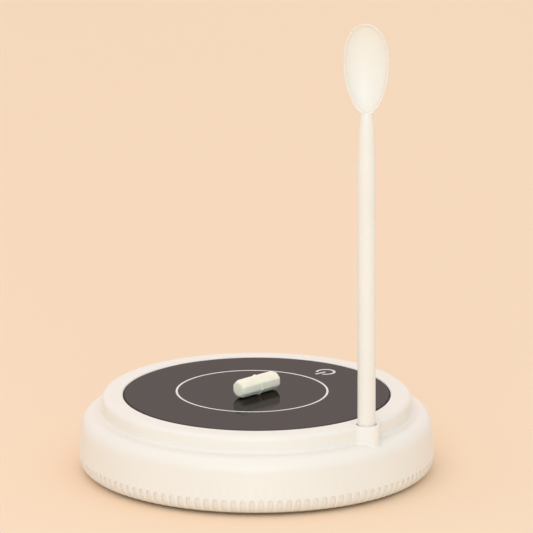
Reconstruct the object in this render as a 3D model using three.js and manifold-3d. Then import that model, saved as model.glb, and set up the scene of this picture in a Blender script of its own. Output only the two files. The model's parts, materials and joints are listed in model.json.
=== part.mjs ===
// Cordless magnetic stirrer: a round housing with a black glass deck, a long spoon that
// stands in a socket at the rim, and a loose stir bar that the motor turns through the glass.
// Millimetres, +Z up. The origin is on the table, midway between the four rubber feet.
import * as THREE from "three";
import { mergeGeometries, mergeVertices } from "three/addons/utils/BufferGeometryUtils.js";
import Module from "manifold-3d";

const wasm = await Module();
wasm.setup();

// ---- driving dimensions ----------------------------------------------------------------

const gap = 0.3; // air left between pieces that touch on the real object

const bodyRadius = 60;
const bodyBottom = 1; // the feet hold the housing this far off the table
const deckHeight = 26.6; // rim and glass are level
const bodyFacets = 60;

const lowerEdge = { radius: 56, depth: 4.5 }; // curved undercut that carries the grip grooves
const shoulder = { radius: 54.9, base: 15.2, rise: 5.2, sideRadius: 59.3 };
const rim = { radius: 52.4, rounding: 2, footHeight: 21.7, filletRadius: 53.6 };
const grooves = { count: 120, width: 1.8, depth: 0.9, top: 5.2 };

const lipRadius = 54.8; // opening that the base plate closes
const lipTop = 4.4;
const cavityRadius = 57.2;
const rimCavityRadius = 50;
const ledge = { windowRadius: 41, bottom: 21.2, top: 23, wellRadius: 45.25 };

const glass = { radius: 44.9, thickness: 2.5, edge: 0.4 };
const gasket = { inner: 42, outer: 44.4, thickness: 0.5 };

const socket = { x: 36.97, y: -37.1, side: 8.9, corner: 2.5, boreRadius: 3.4, depth: 18, floor: 1.5 };

const port = { height: 9.55, width: 8.94, tall: 3.26, back: 51.5, front: 58.8, clearance: 0.33 };

const plate = { radius: 54.5, bottom: 1.3, top: 3.3 };
const housingScrew = { ring: 50, azimuths: [20, 125, 235, 290], cupTop: 4.6, bossRadius: 3, bossTop: 19.5 };
const foot = { ring: 46, azimuths: [45, 135, 225, 315], radius: 4.5, top: 1.8 };

const motor = { radius: 12.2, wall: 0.8, bottom: 3.9, top: 14.9 };
const clamp = { bottom: 15.2, top: 16.4, postRing: 18, azimuths: [-45, 135], postRadius: 3 };
const clampPlate = { disc: 12.6, earWidth: 7, earCorner: 3.4, screwHole: 1.3, shaftHole: 5 };
const bush = { bore: 1.05, radius: 3, hole: 3.3 }; // running fit on the motor shaft
const lowerBush = { bottom: motor.bottom, top: 5.4 };
const upperBush = { bottom: 13.8, top: 15.7 };
const endCapTop = 5.6;
const fieldMagnet = { inner: 9.2, bottom: 6.5, top: 13.5 };
const brush = { inner: 2.9, thickness: 0.3, halfLength: 4, bottom: 5.9, top: 6.9 };
const shaft = { radius: 1, bottom: 4.2, top: 19.1 };
const pressedBore = 1.3; // bores of the pieces that are fixed on the shaft
const commutator = { radius: 2.6, bottom: 5.7, top: 6.9 };
const armaturePoles = { outer: 8.7, root: 5.6, bottom: 7.2, top: 13, halfPole: 52, halfSlot: 4 };
const carrier = { radius: 15, hubRadius: 4, hubBottom: 16, bottom: 18.4, top: 23, slotFloor: 19.4 };
const carrierSlot = { length: 29, width: 9.2 };
const keeper = { length: 28, width: 8.4, top: 20.5 };
const driveMagnet = { radius: 4, offset: 9.5, bottom: 20.8, thickness: 2 };
const smallScrew = { head: 1.9, headHeight: 1.2, shank: 0.95 };
const polesAzimuth = 45; // the stir bar and the drive magnets point this way at rest

const board = { bottom: 6, top: 7.6 };
const boardOutline = [
  [-10, 20],
  [31, 20],
  [31, 36],
  [18, 51.5],
  [6, 51.5],
  [6, 54.2],
  [-6, 54.2],
  [-6, 51.5],
  [-10, 51.5],
];
const boardScrewSpots = [[-6, 45], [27.5, 33]];
const touchKey = { x: 23.4, y: 26.7, coilRadius: 3, wireRadius: 0.35, turns: 5 };
const battery = { x: -33, y: 0, width: 30, length: 48, thickness: 6, bottom: 4.7 };
const batteryPad = { width: 22, length: 40, top: 4.4 };
const smoothingCapacitor = { x: 15, y: 45, radius: 2.5, height: 6 };
const leadRadius = 0.6;

const bar = { length: 18, flats: 5.9, ringFlats: 6.3, lift: 0.05, chamfer: 1.2 };
const magnetBore = { radius: 1.9, floor: 2.4, mouth: 1.9 }; // blind hole in the stir bar
const facets8 = Math.cos(Math.PI / 8); // flat-to-corner ratio of an octagon

const spoon = {
  radius: 3.05,
  bowl: { height: 152.7, up: 13.5, down: 18.2, halfWidth: 7.83, depth: 5.4, wall: 1 },
  // how the stem thins towards the bowl: [radius, distance below the bowl's widest level]
  taper: [[3.05, 41], [2.72, 24.3], [2.5, 20.3], [2.2, 17.5], [2.1, 15], [1.2, 12], [0, 11]],
  rimForward: 1.4, // the bowl's rim lies this far in front of the stem's axis
  turn: -13, // degrees the bowl is turned about the stem
};

// ---- finishes --------------------------------------------------------------------------

const finish = (color, roughness, metalness = 0) =>
  new THREE.MeshStandardMaterial({ color, roughness, metalness });
const cream = finish(0xf5eddf, 0.45);
const blackGlass = finish(0x14110f, 0.08);
const blackRubber = finish(0x1c1c1c, 0.9);
const blackFoam = finish(0x2a2a2a, 0.95);
const blackPlastic = finish(0x202022, 0.5);
const whitePlastic = finish(0xf2f0ea, 0.5);
const ptfe = finish(0xf1efe6, 0.4);
const greenBoard = finish(0x1f5d3a, 0.5);
const steel = finish(0xb9bcc0, 0.35, 1);
const zinc = finish(0xc9cbd0, 0.3, 1);
const bronze = finish(0xb08d57, 0.4, 1);
const copper = finish(0xb87333, 0.35, 1);
const nickel = finish(0xd5d5d2, 0.2, 1);
const ferrite = finish(0x35363a, 0.7);
const foil = finish(0x9fb4c8, 0.4, 0.6);
const redCable = finish(0xb3261e, 0.5);
const blackCable = finish(0x1a1a1a, 0.5);

// ---- shape helpers ---------------------------------------------------------------------

// A closed three.js geometry as a manifold solid.
function solid(geometry) {
  const bare = geometry.index ? geometry.toNonIndexed() : geometry.clone();
  bare.deleteAttribute("normal");
  bare.deleteAttribute("uv");
  const merged = mergeVertices(bare, 1e-4);
  const vertProperties = merged.getAttribute("position").array;
  const triVerts = new Uint32Array(merged.index.array);
  return new wasm.Manifold(new wasm.Mesh({ numProp: 3, vertProperties, triVerts }));
}

// A manifold solid as a flat-shaded three.js geometry.
function geometryOf(made) {
  const { vertProperties, triVerts } = made.getMesh();
  const geometry = new THREE.BufferGeometry();
  geometry.setAttribute("position", new THREE.BufferAttribute(new Float32Array(vertProperties), 3));
  geometry.setIndex(new THREE.BufferAttribute(new Uint32Array(triVerts), 1));
  const flat = geometry.toNonIndexed();
  flat.computeVertexNormals();
  return flat;
}

// A profile of [radius, height] points turned about +Z.
function turned(profile, facets) {
  const points = profile.map(([radius, height]) => new THREE.Vector2(radius, height));
  return new THREE.LatheGeometry(points, facets).rotateX(Math.PI / 2);
}

const round = (radius, bottom, top, facets = 24) =>
  turned([[0, bottom], [radius, bottom], [radius, top], [0, top]], facets);

const tube = (inner, outer, bottom, top, facets = 24) =>
  turned([[inner, bottom], [outer, bottom], [outer, top], [inner, top], [inner, bottom]], facets);

// A block between two corners.
function block([x0, y0, z0], [x1, y1, z1]) {
  const geometry = new THREE.BoxGeometry(x1 - x0, y1 - y0, z1 - z0);
  return geometry.translate((x0 + x1) / 2, (y0 + y1) / 2, (z0 + z1) / 2);
}

// A flat outline raised from one height to another.
function raised(shape, bottom, top, curveSegments = 4) {
  const options = { depth: top - bottom, bevelEnabled: false, curveSegments };
  return new THREE.ExtrudeGeometry(shape, options).translate(0, 0, bottom);
}

// A rectangle with round corners, centred on the origin.
function roundedRectangle(width, height, corner) {
  const x = width / 2 - corner;
  const y = height / 2 - corner;
  const shape = new THREE.Shape();
  shape.absarc(x, -y, corner, -Math.PI / 2, 0);
  shape.absarc(x, y, corner, 0, Math.PI / 2);
  shape.absarc(-x, y, corner, Math.PI / 2, Math.PI);
  shape.absarc(-x, -y, corner, Math.PI, 1.5 * Math.PI);
  shape.closePath();
  return shape;
}

// Points on an elliptical arc in the profile plane, angles in degrees.
function arc([radius, height], [across, up], from, to, steps) {
  return Array.from({ length: steps + 1 }, (_, i) => {
    const angle = THREE.MathUtils.degToRad(from + ((to - from) * i) / steps);
    return [radius + across * Math.cos(angle), height + up * Math.sin(angle)];
  });
}

// The plan position at a distance and an azimuth from the housing's axis.
function polar(ring, azimuth) {
  const angle = THREE.MathUtils.degToRad(azimuth);
  return [ring * Math.cos(angle), ring * Math.sin(angle)];
}

// One copy of a shape at each plan position.
const repeated = (shape, spots) => spots.map(([x, y]) => shape.clone().translate(x, y, 0));

function cut(body, ...tools) {
  return tools.reduce((rest, tool) => rest.subtract(solid(tool)), body);
}

function join(body, ...pieces) {
  return pieces.reduce((whole, piece) => whole.add(solid(piece)), body);
}

function mesh(name, shape, material) {
  const made = new THREE.Mesh(shape.isBufferGeometry ? shape : geometryOf(shape), material);
  made.name = name;
  return made;
}

function group(...members) {
  const made = new THREE.Group();
  made.add(...members);
  return made;
}

// A round lead along a smooth curve through the given points.
function lead(name, points, material) {
  const path = new THREE.CatmullRomCurve3(points.map((p) => new THREE.Vector3(...p)));
  const section = new THREE.Shape(
    Array.from({ length: 8 }, (_, i) => new THREE.Vector2(...polar(leadRadius, i * 45))),
  );
  const steps = Math.ceil(path.getLength() / (5 * leadRadius));
  return mesh(name, new THREE.ExtrudeGeometry(section, { steps, extrudePath: path }), material);
}

// A pan-head screw, head down, with its shank pointing up from the head's seat.
function screw(name, { head, headHeight, shank, length }) {
  const seat = headHeight;
  const profile = [
    [0, 0],
    [head * 0.7, 0],
    [head, headHeight * 0.4],
    [head, seat],
    [shank, seat],
    [shank, seat + length - shank],
    [0, seat + length],
  ];
  const reach = head * 0.6;
  const slot = block([-reach, -reach / 5, -1], [reach, reach / 5, headHeight * 0.5]);
  return mesh(name, cut(solid(turned(profile, 12)), slot), zinc);
}

// ---- housing ---------------------------------------------------------------------------

function housingOutline() {
  return [
    [0, bodyBottom],
    ...arc(
      [lowerEdge.radius, bodyBottom + lowerEdge.depth],
      [bodyRadius - lowerEdge.radius, lowerEdge.depth],
      -90,
      0,
      2,
    ),
    ...arc(
      [shoulder.radius, shoulder.base],
      [shoulder.sideRadius - shoulder.radius, shoulder.rise],
      0,
      90,
      3,
    ),
    [rim.filletRadius, shoulder.base + shoulder.rise + 0.1],
    [rim.radius, rim.footHeight],
    ...arc(
      [rim.radius - rim.rounding, deckHeight - rim.rounding],
      [rim.rounding, rim.rounding],
      0,
      90,
      2,
    ),
    [0, deckHeight],
  ];
}

// Everything inside the walls: the plate's opening, the cavity, the window and the glass well.
function housingHollow() {
  return [
    [0, bodyBottom - 1],
    [lipRadius, bodyBottom - 1],
    [lipRadius, lipTop],
    [cavityRadius, lipTop + 1.4],
    [cavityRadius, 14],
    [56.4, 16.4],
    [54, 18.2],
    [rimCavityRadius, 18.2],
    [rimCavityRadius, ledge.bottom],
    [ledge.windowRadius, ledge.bottom],
    [ledge.windowRadius, ledge.top],
    [ledge.wellRadius, ledge.top],
    [ledge.wellRadius, deckHeight + 1],
    [0, deckHeight + 1],
  ];
}

// One radial cutter for each grip groove round the lower edge.
function grooveCutters() {
  const side = new THREE.Shape([
    new THREE.Vector2(lowerEdge.radius - grooves.depth, 0),
    new THREE.Vector2(bodyRadius + 1, 0),
    new THREE.Vector2(bodyRadius + 1, grooves.top),
    new THREE.Vector2(bodyRadius - grooves.depth, grooves.top),
  ]);
  const options = { depth: grooves.width, bevelEnabled: false };
  const one = new THREE.ExtrudeGeometry(side, options).rotateX(Math.PI / 2);
  one.translate(0, grooves.width / 2, 0);
  const pitch = (2 * Math.PI) / grooves.count;
  const all = Array.from({ length: grooves.count }, (_, i) => one.clone().rotateZ((i + 0.5) * pitch));
  return mergeGeometries(all);
}

function socketColumn() {
  const floorHeight = deckHeight - socket.depth - socket.floor;
  const outline = roundedRectangle(socket.side, socket.side, socket.corner);
  return raised(outline, floorHeight, deckHeight, 3).translate(socket.x, socket.y, 0);
}

function socketBore() {
  const bore = round(socket.boreRadius, deckHeight - socket.depth, deckHeight + 1);
  return bore.translate(socket.x, socket.y, 0);
}

// The slot in the rear wall that the charging port looks out of.
function portWindow() {
  const tall = port.tall + 2 * port.clearance;
  const shape = roundedRectangle(port.width + 2 * port.clearance, tall, tall * 0.4);
  return raised(shape, 0, 6, 3)
    .rotateX(Math.PI / 2)
    .translate(0, bodyRadius + 1, port.height);
}

function topShell() {
  const spots = housingScrew.azimuths.map((azimuth) => polar(housingScrew.ring, azimuth));
  const bossBottom = housingScrew.cupTop + gap;
  const bosses = repeated(round(housingScrew.bossRadius, bossBottom, housingScrew.bossTop, 12), spots);
  const pilots = repeated(round(1.75, bossBottom - 1, 13, 10), spots);
  const skin = cut(solid(turned(housingOutline(), bodyFacets)), turned(housingHollow(), bodyFacets));
  const whole = join(skin, socketColumn(), ...bosses);
  const made = cut(whole, socketBore(), portWindow(), ...pilots, grooveCutters());
  return mesh("top_shell", made, cream);
}

function basePlate() {
  const screwSpots = housingScrew.azimuths.map((azimuth) => polar(housingScrew.ring, azimuth));
  const clampSpots = clamp.azimuths.map((azimuth) => polar(clamp.postRing, azimuth));
  const footSpots = foot.azimuths.map((azimuth) => polar(foot.ring, azimuth));
  const { bottom, top, radius } = plate;
  const rooted = top - 0.5; // raised pieces start inside the disc
  const raisedPieces = [
    tube(motor.radius + 0.4, motor.radius + 2.2, rooted, 10),
    ...repeated(round(4.2, rooted, housingScrew.cupTop, 12), screwSpots),
    ...repeated(round(clamp.postRadius, rooted, motor.top, 12), clampSpots),
    ...repeated(round(2.5, rooted, board.bottom - gap, 12), boardScrewSpots),
  ];
  const leadNotch = block([2, motor.radius - 2, top], [11, motor.radius + 4, 10.5]);
  const recesses = [
    ...repeated(round(3.1, bottom - 1, 3.4, 12), screwSpots),
    ...repeated(round(1.75, bottom - 1, housingScrew.cupTop + 1, 12), screwSpots),
    ...repeated(round(1.25, 9, motor.top + 1, 10), clampSpots),
    ...repeated(round(1.25, 2.2, board.bottom, 10), boardScrewSpots),
    ...repeated(round(foot.radius + gap, bottom - 1, foot.top + gap, 16), footSpots),
    leadNotch,
  ];
  const disc = round(radius, bottom, top, bodyFacets);
  return mesh("base_plate", cut(join(solid(disc), ...raisedPieces), ...recesses), cream);
}

function placeRound(maker, ring, azimuths, height) {
  return azimuths.map((azimuth, i) => {
    const piece = maker(i + 1);
    const [x, y] = polar(ring, azimuth);
    piece.position.set(x, y, height);
    return piece;
  });
}

function housingScrews() {
  const size = { head: 2.75, headHeight: 1.5, shank: 1.45, length: 8.5 };
  const maker = (number) => screw(`base_screw_${number}`, size);
  return placeRound(maker, housingScrew.ring, housingScrew.azimuths, 1.6);
}

function rubberFeet() {
  const { radius, top } = foot;
  const profile = [[0, 0], [radius - 0.5, 0], [radius, 0.5], [radius, top], [0, top]];
  const maker = (number) => mesh(`rubber_foot_${number}`, turned(profile, 16), blackRubber);
  return placeRound(maker, foot.ring, foot.azimuths, 0);
}

function glassPlate() {
  const { radius, thickness, edge } = glass;
  const bottom = deckHeight - thickness;
  const profile = [
    [0, bottom],
    [radius, bottom],
    [radius, deckHeight - edge],
    [radius - edge, deckHeight],
    [0, deckHeight],
  ];
  return mesh("glass_plate", turned(profile, bodyFacets), blackGlass);
}

function glassGasket() {
  const bottom = ledge.top + gap;
  const tape = tube(gasket.inner, gasket.outer, bottom, bottom + gasket.thickness, 40);
  return mesh("glass_gasket", tape, blackFoam);
}

// ---- motor and what it turns -----------------------------------------------------------

function motorCan() {
  const { radius, wall, bottom, top } = motor;
  const profile = [
    [radius - wall, bottom],
    [radius, bottom],
    [radius, top - 0.6],
    [radius - 0.6, top],
    [bush.hole, top],
    [bush.hole, top - wall],
    [radius - wall, top - wall],
    [radius - wall, bottom],
  ];
  return mesh("motor_can", turned(profile, 32), steel);
}

function motorBrush(name, side) {
  const reach = [side * brush.inner, side * (brush.inner + brush.thickness)];
  const low = [Math.min(...reach), -brush.halfLength, brush.bottom];
  const high = [Math.max(...reach), brush.halfLength, brush.top];
  return mesh(name, block(low, high), copper);
}

function motorInsides() {
  const insideRadius = motor.radius - motor.wall - gap;
  const magnet = tube(fieldMagnet.inner, insideRadius, fieldMagnet.bottom, fieldMagnet.top, 32);
  return [
    mesh("motor_end_cap", tube(bush.hole, insideRadius, motor.bottom, endCapTop, 32), whitePlastic),
    mesh("motor_bush_lower", tube(bush.bore, bush.radius, lowerBush.bottom, lowerBush.top, 16), bronze),
    mesh("motor_bush_upper", tube(bush.bore, bush.radius, upperBush.bottom, upperBush.top, 16), bronze),
    mesh("motor_field_magnet", magnet, ferrite),
    motorBrush("motor_brush_1", 1),
    motorBrush("motor_brush_2", -1),
  ];
}

function motorClamp() {
  const { bottom, top, postRing } = clamp;
  const { disc, earWidth, earCorner, screwHole, shaftHole } = clampPlate;
  const outline = roundedRectangle(2 * postRing + earWidth, earWidth, earCorner);
  const plate = join(solid(round(disc, bottom, top, 24)), raised(outline, bottom, top));
  const screwHoles = repeated(round(screwHole, bottom - 1, top + 1, 12), [[postRing, 0], [-postRing, 0]]);
  const made = cut(plate, round(shaftHole, bottom - 1, top + 1, 16), ...screwHoles);
  const piece = mesh("motor_clamp", made, zinc);
  piece.rotation.z = THREE.MathUtils.degToRad(clamp.azimuths[0]);
  return piece;
}

function clampScrews() {
  const size = { ...smallScrew, length: 7 };
  const maker = (number) => {
    const piece = screw(`motor_screw_${number}`, size);
    piece.rotation.x = Math.PI;
    return piece;
  };
  return placeRound(maker, clamp.postRing, clamp.azimuths, clamp.top + gap + size.headHeight);
}

// The three-pole stack of laminations, with its winding taken as part of the stack.
function armature() {
  const { outer, root, bottom, top, halfPole, halfSlot } = armaturePoles;
  const shape = new THREE.Shape();
  for (const pole of [0, 120, 240]) {
    const start = THREE.MathUtils.degToRad(pole - halfPole);
    const end = THREE.MathUtils.degToRad(pole + halfPole);
    shape.absarc(0, 0, outer, start, end);
    shape.lineTo(...polar(root, pole + 60 - halfSlot));
    shape.lineTo(...polar(root, pole + 60 + halfSlot));
  }
  const stack = solid(raised(shape, bottom, top, 6));
  return mesh("motor_armature", cut(stack, round(pressedBore, bottom - 1, top + 1, 12)), copper);
}

function magnetCarrier() {
  const { radius, hubRadius, hubBottom, bottom, top, slotFloor } = carrier;
  const profile = [
    [0, hubBottom],
    [hubRadius, hubBottom],
    [hubRadius, bottom],
    [radius, bottom],
    [radius, top],
    [0, top],
  ];
  const { length, width } = carrierSlot;
  const slot = raised(roundedRectangle(length, width, width / 2 - 0.2), slotFloor, top + 1);
  const bore = round(pressedBore, hubBottom - 1, slotFloor + 0.1, 16);
  return mesh("magnet_carrier", cut(solid(turned(profile, 36)), slot, bore), whitePlastic);
}

function driveMagnets() {
  const { radius, offset, bottom, thickness } = driveMagnet;
  return ["north", "south"].map((name, i) => {
    const piece = mesh(`drive_magnet_${name}`, round(radius, bottom, bottom + thickness, 20), nickel);
    piece.position.x = (1 - 2 * i) * offset;
    return piece;
  });
}

function rotor() {
  const { length, width, top } = keeper;
  const keeperPlate = raised(roundedRectangle(length, width, width / 2 - 0.2), carrier.slotFloor + gap, top);
  const segments = tube(pressedBore, commutator.radius, commutator.bottom, commutator.top, 12);
  const made = group(
    mesh("motor_shaft", round(shaft.radius, shaft.bottom, shaft.top, 16), steel),
    mesh("motor_commutator", segments, copper),
    armature(),
    magnetCarrier(),
    mesh("keeper_plate", keeperPlate, steel),
    ...driveMagnets(),
  );
  made.rotation.z = THREE.MathUtils.degToRad(polesAzimuth);
  return made;
}

// ---- electronics -----------------------------------------------------------------------

function mainBoard() {
  const shape = new THREE.Shape(boardOutline.map((point) => new THREE.Vector2(...point)));
  const holes = repeated(round(1.25, 5, 9, 12), boardScrewSpots);
  return mesh("main_board", cut(solid(raised(shape, board.bottom, board.top)), ...holes), greenBoard);
}

function boardScrews() {
  const size = { ...smallScrew, length: 4.6 };
  return boardScrewSpots.map(([x, y], i) => {
    const piece = screw(`board_screw_${i + 1}`, size);
    piece.rotation.x = Math.PI;
    piece.position.set(x, y, board.top + gap + size.headHeight);
    return piece;
  });
}

// The charging socket: a pressed sleeve with the contact tongue standing in its mouth.
function chargingPort() {
  const { width, tall, back, front, height } = port;
  const sleeve = raised(roundedRectangle(width, tall, tall * 0.4), 0, front - back, 3);
  const mouth = raised(roundedRectangle(width - 0.8, tall - 0.8, 1), 1, front - back + 1, 3);
  const tongue = block([-3.3, -0.35, 0.5], [3.3, 0.35, front - back - 0.8]);
  const made = join(cut(solid(sleeve), mouth), tongue);
  const piece = mesh("charging_port", made, steel);
  piece.rotation.x = -Math.PI / 2;
  piece.position.set(0, back, height);
  return piece;
}

function onBoard(name, [x, y], [width, length, tall], material) {
  const bottom = board.top + gap;
  const low = [x - width / 2, y - length / 2, bottom];
  const high = [x + width / 2, y + length / 2, bottom + tall];
  return mesh(name, block(low, high), material);
}

// The spring that carries the touch signal from the board to the underside of the glass.
function touchSpring() {
  const { x, y, coilRadius, wireRadius, turns } = touchKey;
  const bottom = board.top + gap + wireRadius;
  const top = deckHeight - glass.thickness - gap - wireRadius;
  const stepsPerTurn = 8;
  const points = Array.from({ length: turns * stepsPerTurn + 1 }, (_, i) => {
    const [dx, dy] = polar(coilRadius, (i * 360) / stepsPerTurn);
    return new THREE.Vector3(x + dx, y + dy, bottom + ((top - bottom) * i) / (turns * stepsPerTurn));
  });
  const section = new THREE.Shape(
    Array.from({ length: 5 }, (_, i) => new THREE.Vector2(...polar(wireRadius, i * 72))),
  );
  const options = { steps: turns * stepsPerTurn, extrudePath: new THREE.CatmullRomCurve3(points) };
  return mesh("touch_spring", new THREE.ExtrudeGeometry(section, options), steel);
}

function capacitor() {
  const { x, y, radius, height } = smoothingCapacitor;
  const bottom = board.top + gap;
  return mesh("capacitor", round(radius, bottom, bottom + height, 16).translate(x, y, 0), foil);
}

function batteryPack() {
  const { x, y, width, length, thickness, bottom } = battery;
  const cell = raised(roundedRectangle(width, length, 2.5), bottom, bottom + thickness, 3).translate(x, y, 0);
  const pad = block(
    [x - batteryPad.width / 2, y - batteryPad.length / 2, plate.top + gap],
    [x + batteryPad.width / 2, y + batteryPad.length / 2, batteryPad.top],
  );
  return [mesh("battery_cell", cell, foil), mesh("battery_pad", pad, blackFoam)];
}

function leads() {
  const motorRed = [[7, 13.2, 5.2], [7.3, 16, 6], [6.6, 18.6, 8.8], [6, 21.3, 10]];
  const motorBlack = [[3.4, 13.8, 5.2], [3.3, 16, 6], [3.6, 18.6, 8.8], [4, 21.3, 10]];
  const batteryRed = [[-24, 24.4, 8.5], [-23.5, 26.5, 8.8], [-17, 27, 10], [-11.5, 23.5, 10], [-8.9, 23, 10]];
  const batteryBlack = [[-28, 24.4, 8.5], [-27, 29, 8.8], [-19, 31, 10], [-12, 26.5, 10], [-8.9, 25, 10]];
  return [
    lead("motor_lead_red", motorRed, redCable),
    lead("motor_lead_black", motorBlack, blackCable),
    lead("battery_lead_red", batteryRed, redCable),
    lead("battery_lead_black", batteryBlack, blackCable),
  ];
}

function electronics() {
  return group(
    mainBoard(),
    ...boardScrews(),
    chargingPort(),
    onBoard("controller_chip", [10, 34], [7, 7, 1.2], blackPlastic),
    onBoard("charger_chip", [-3, 38], [5, 4, 1.4], blackPlastic),
    onBoard("motor_connector", [5, 24], [6, 4.6, 4], whitePlastic),
    onBoard("battery_connector", [-5.2, 24], [6, 4.6, 4], whitePlastic),
    onBoard("status_led", [28.5, 22.5], [2.8, 1.6, 1.1], whitePlastic),
    capacitor(),
    touchSpring(),
    ...batteryPack(),
    ...leads(),
  );
}

// ---- stir bar --------------------------------------------------------------------------

// Built standing on its axis, then laid along the azimuth of the drive magnets.
function stirBar() {
  const half = bar.length / 2;
  const corner = bar.flats / 2 / facets8;
  const ringCorner = bar.ringFlats / 2 / facets8;
  const chamfer = arc([corner - bar.chamfer, half - bar.chamfer], [bar.chamfer, bar.chamfer], 0, 75, 2);
  const end = chamfer.at(-1)[0];
  const { radius: bore, floor, mouth } = magnetBore;
  const profile = [
    [0, -half],
    [end, -half],
    ...chamfer.map(([radius, height]) => [radius, -height]).reverse(),
    [corner, -0.6],
    [ringCorner, -0.35],
    [ringCorner, 0.35],
    [corner, 0.6],
    ...chamfer,
    [end, half],
    [bore, half],
    [bore, floor - half],
    [0, floor - half],
  ];
  const magnet = round(bore - 0.45, floor - half + gap, half - mouth - gap, 16);
  const plug = round(bore - gap - 0.05, half - mouth, half - 0.1, 8).rotateZ(Math.PI / 8);
  const made = group(
    mesh("stir_bar_jacket", turned(profile, 8).rotateZ(Math.PI / 8), ptfe),
    mesh("stir_bar_magnet", magnet, nickel),
    mesh("stir_bar_plug", plug, ptfe),
  );
  made.rotation.set(0, Math.PI / 2, 0);
  const laid = group(made);
  laid.rotation.z = THREE.MathUtils.degToRad(polesAzimuth);
  laid.position.z = deckHeight + bar.lift + bar.ringFlats / 2;
  return laid;
}

// ---- spoon -----------------------------------------------------------------------------

// An egg that is blunt at the top and drawn out towards the neck, made from a unit ball.
function egg(halfWidth, depth, up, down) {
  const ball = new THREE.SphereGeometry(1, 20, 14).rotateX(Math.PI / 2);
  const position = ball.getAttribute("position");
  for (let i = 0; i < position.count; i += 1) {
    const along = position.getZ(i);
    const power = along > 0 ? 2.3 : 1.8;
    const circle = Math.sqrt(Math.max(1 - along * along, 1e-9));
    const swell = (1 - Math.min(Math.abs(along), 1) ** power) ** (1 / power) / circle;
    const x = position.getX(i) * swell * halfWidth;
    const y = position.getY(i) * swell * depth;
    position.setXYZ(i, x, y, along * (along > 0 ? up : down));
  }
  return ball;
}

function spoonStem() {
  const { radius, taper, bowl } = spoon;
  const foot = deckHeight - socket.depth + gap;
  const profile = [
    [0, foot],
    [radius - 0.6, foot],
    [radius, foot + 0.6],
    ...taper.map(([thinned, below]) => [thinned, bowl.height - below]),
  ];
  return turned(profile, 20);
}

function spoonPiece() {
  const { height, up, down, halfWidth, depth, wall } = spoon.bowl;
  const outer = egg(halfWidth, depth + wall, up, down).translate(0, 0, height);
  const inner = egg(halfWidth - wall, depth, up - wall, down - wall).translate(0, 0, height);
  const front = block([-20, -30, height - 40], [20, 0, height + 40]);
  const toStem = -spoon.rimForward;
  const bowl = cut(solid(outer), front).translate([0, toStem, 0]);
  const made = join(bowl, spoonStem()).subtract(solid(inner).translate([0, toStem, 0]));
  const piece = mesh("spoon", made, cream);
  piece.rotation.z = THREE.MathUtils.degToRad(spoon.turn);
  piece.position.set(socket.x, socket.y, 0);
  return piece;
}

// ---- the whole stirrer -----------------------------------------------------------------

const stirrer = group(
  group(topShell(), basePlate(), ...housingScrews(), ...rubberFeet(), glassPlate(), glassGasket()),
  group(motorCan(), ...motorInsides(), motorClamp(), ...clampScrews()),
  electronics(),
  rotor(),
  stirBar(),
  spoonPiece(),
);

export default stirrer;
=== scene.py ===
"""Cordless magnetic stirrer with a standing spoon: the visual model, built around the CAD frame."""

import json
import math

import bmesh
import bpy
from bpy.props import FloatProperty, FloatVectorProperty, IntProperty, PointerProperty
from mathutils import Matrix, Vector


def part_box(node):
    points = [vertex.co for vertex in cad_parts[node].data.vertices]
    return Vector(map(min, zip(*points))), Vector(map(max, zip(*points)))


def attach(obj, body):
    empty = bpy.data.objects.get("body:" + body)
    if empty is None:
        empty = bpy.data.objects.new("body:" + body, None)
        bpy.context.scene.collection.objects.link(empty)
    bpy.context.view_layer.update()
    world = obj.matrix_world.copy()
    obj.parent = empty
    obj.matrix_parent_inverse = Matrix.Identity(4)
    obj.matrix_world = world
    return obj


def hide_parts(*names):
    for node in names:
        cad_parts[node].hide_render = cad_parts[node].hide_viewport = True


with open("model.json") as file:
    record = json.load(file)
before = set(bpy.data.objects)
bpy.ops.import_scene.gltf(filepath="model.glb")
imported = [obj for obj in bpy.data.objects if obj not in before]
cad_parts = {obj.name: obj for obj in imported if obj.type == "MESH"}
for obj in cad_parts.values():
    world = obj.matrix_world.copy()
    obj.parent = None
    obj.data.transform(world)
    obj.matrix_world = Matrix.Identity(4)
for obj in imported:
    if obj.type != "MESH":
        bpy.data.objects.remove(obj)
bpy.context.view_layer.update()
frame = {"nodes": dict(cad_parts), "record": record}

bl_info = {
    "name": "Magnetic stirrer",
    "version": (1, 0, 0),
    "blender": (4, 5, 0),
    "location": "View3D > Sidebar > Stirrer",
    "description": "Builds a cordless magnetic stirrer with its glass deck, stir bar and spoon",
    "category": "Add Mesh",
}

MM = 0.001

# ---- places taken from the CAD frame ---------------------------------------------------

SHELL_LOW, SHELL_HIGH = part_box("top_shell")
GLASS_LOW, GLASS_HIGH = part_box("glass_plate")
SPOON_LOW, SPOON_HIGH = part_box("spoon")
BAR_LOW, BAR_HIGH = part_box("stir_bar_jacket")
PORT_LOW, PORT_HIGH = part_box("charging_port")
BODY_RADIUS = SHELL_HIGH[0]
BODY_BOTTOM = SHELL_LOW[2]
DECK = SHELL_HIGH[2]
GLASS_EDGE = GLASS_HIGH[0] - 0.15 * MM
GLASS_BEVEL = 0.28 * MM
POLES = math.radians(45)  # the stir bar and the drive magnets point this way at rest
FOOT_NODES = [f"rubber_foot_{number}" for number in range(1, 5)]


def plan_centre(node):
    """Where a node stands, seen from above."""
    low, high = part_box(node)
    return Vector(((low[0] + high[0]) / 2, (low[1] + high[1]) / 2, 0))


def plan_stem():
    """Where the spoon's stem stands: the middle of the spoon's lowest few millimetres."""
    verts = frame["nodes"]["spoon"].data.vertices
    foot = [vert.co for vert in verts if vert.co.z < SPOON_LOW[2] + 2 * MM]
    across, along = [co.x for co in foot], [co.y for co in foot]
    return Vector((min(across) + max(across), min(along) + max(along), 0)) / 2


# ---- sizes and colours that a user would change ----------------------------------------


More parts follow.
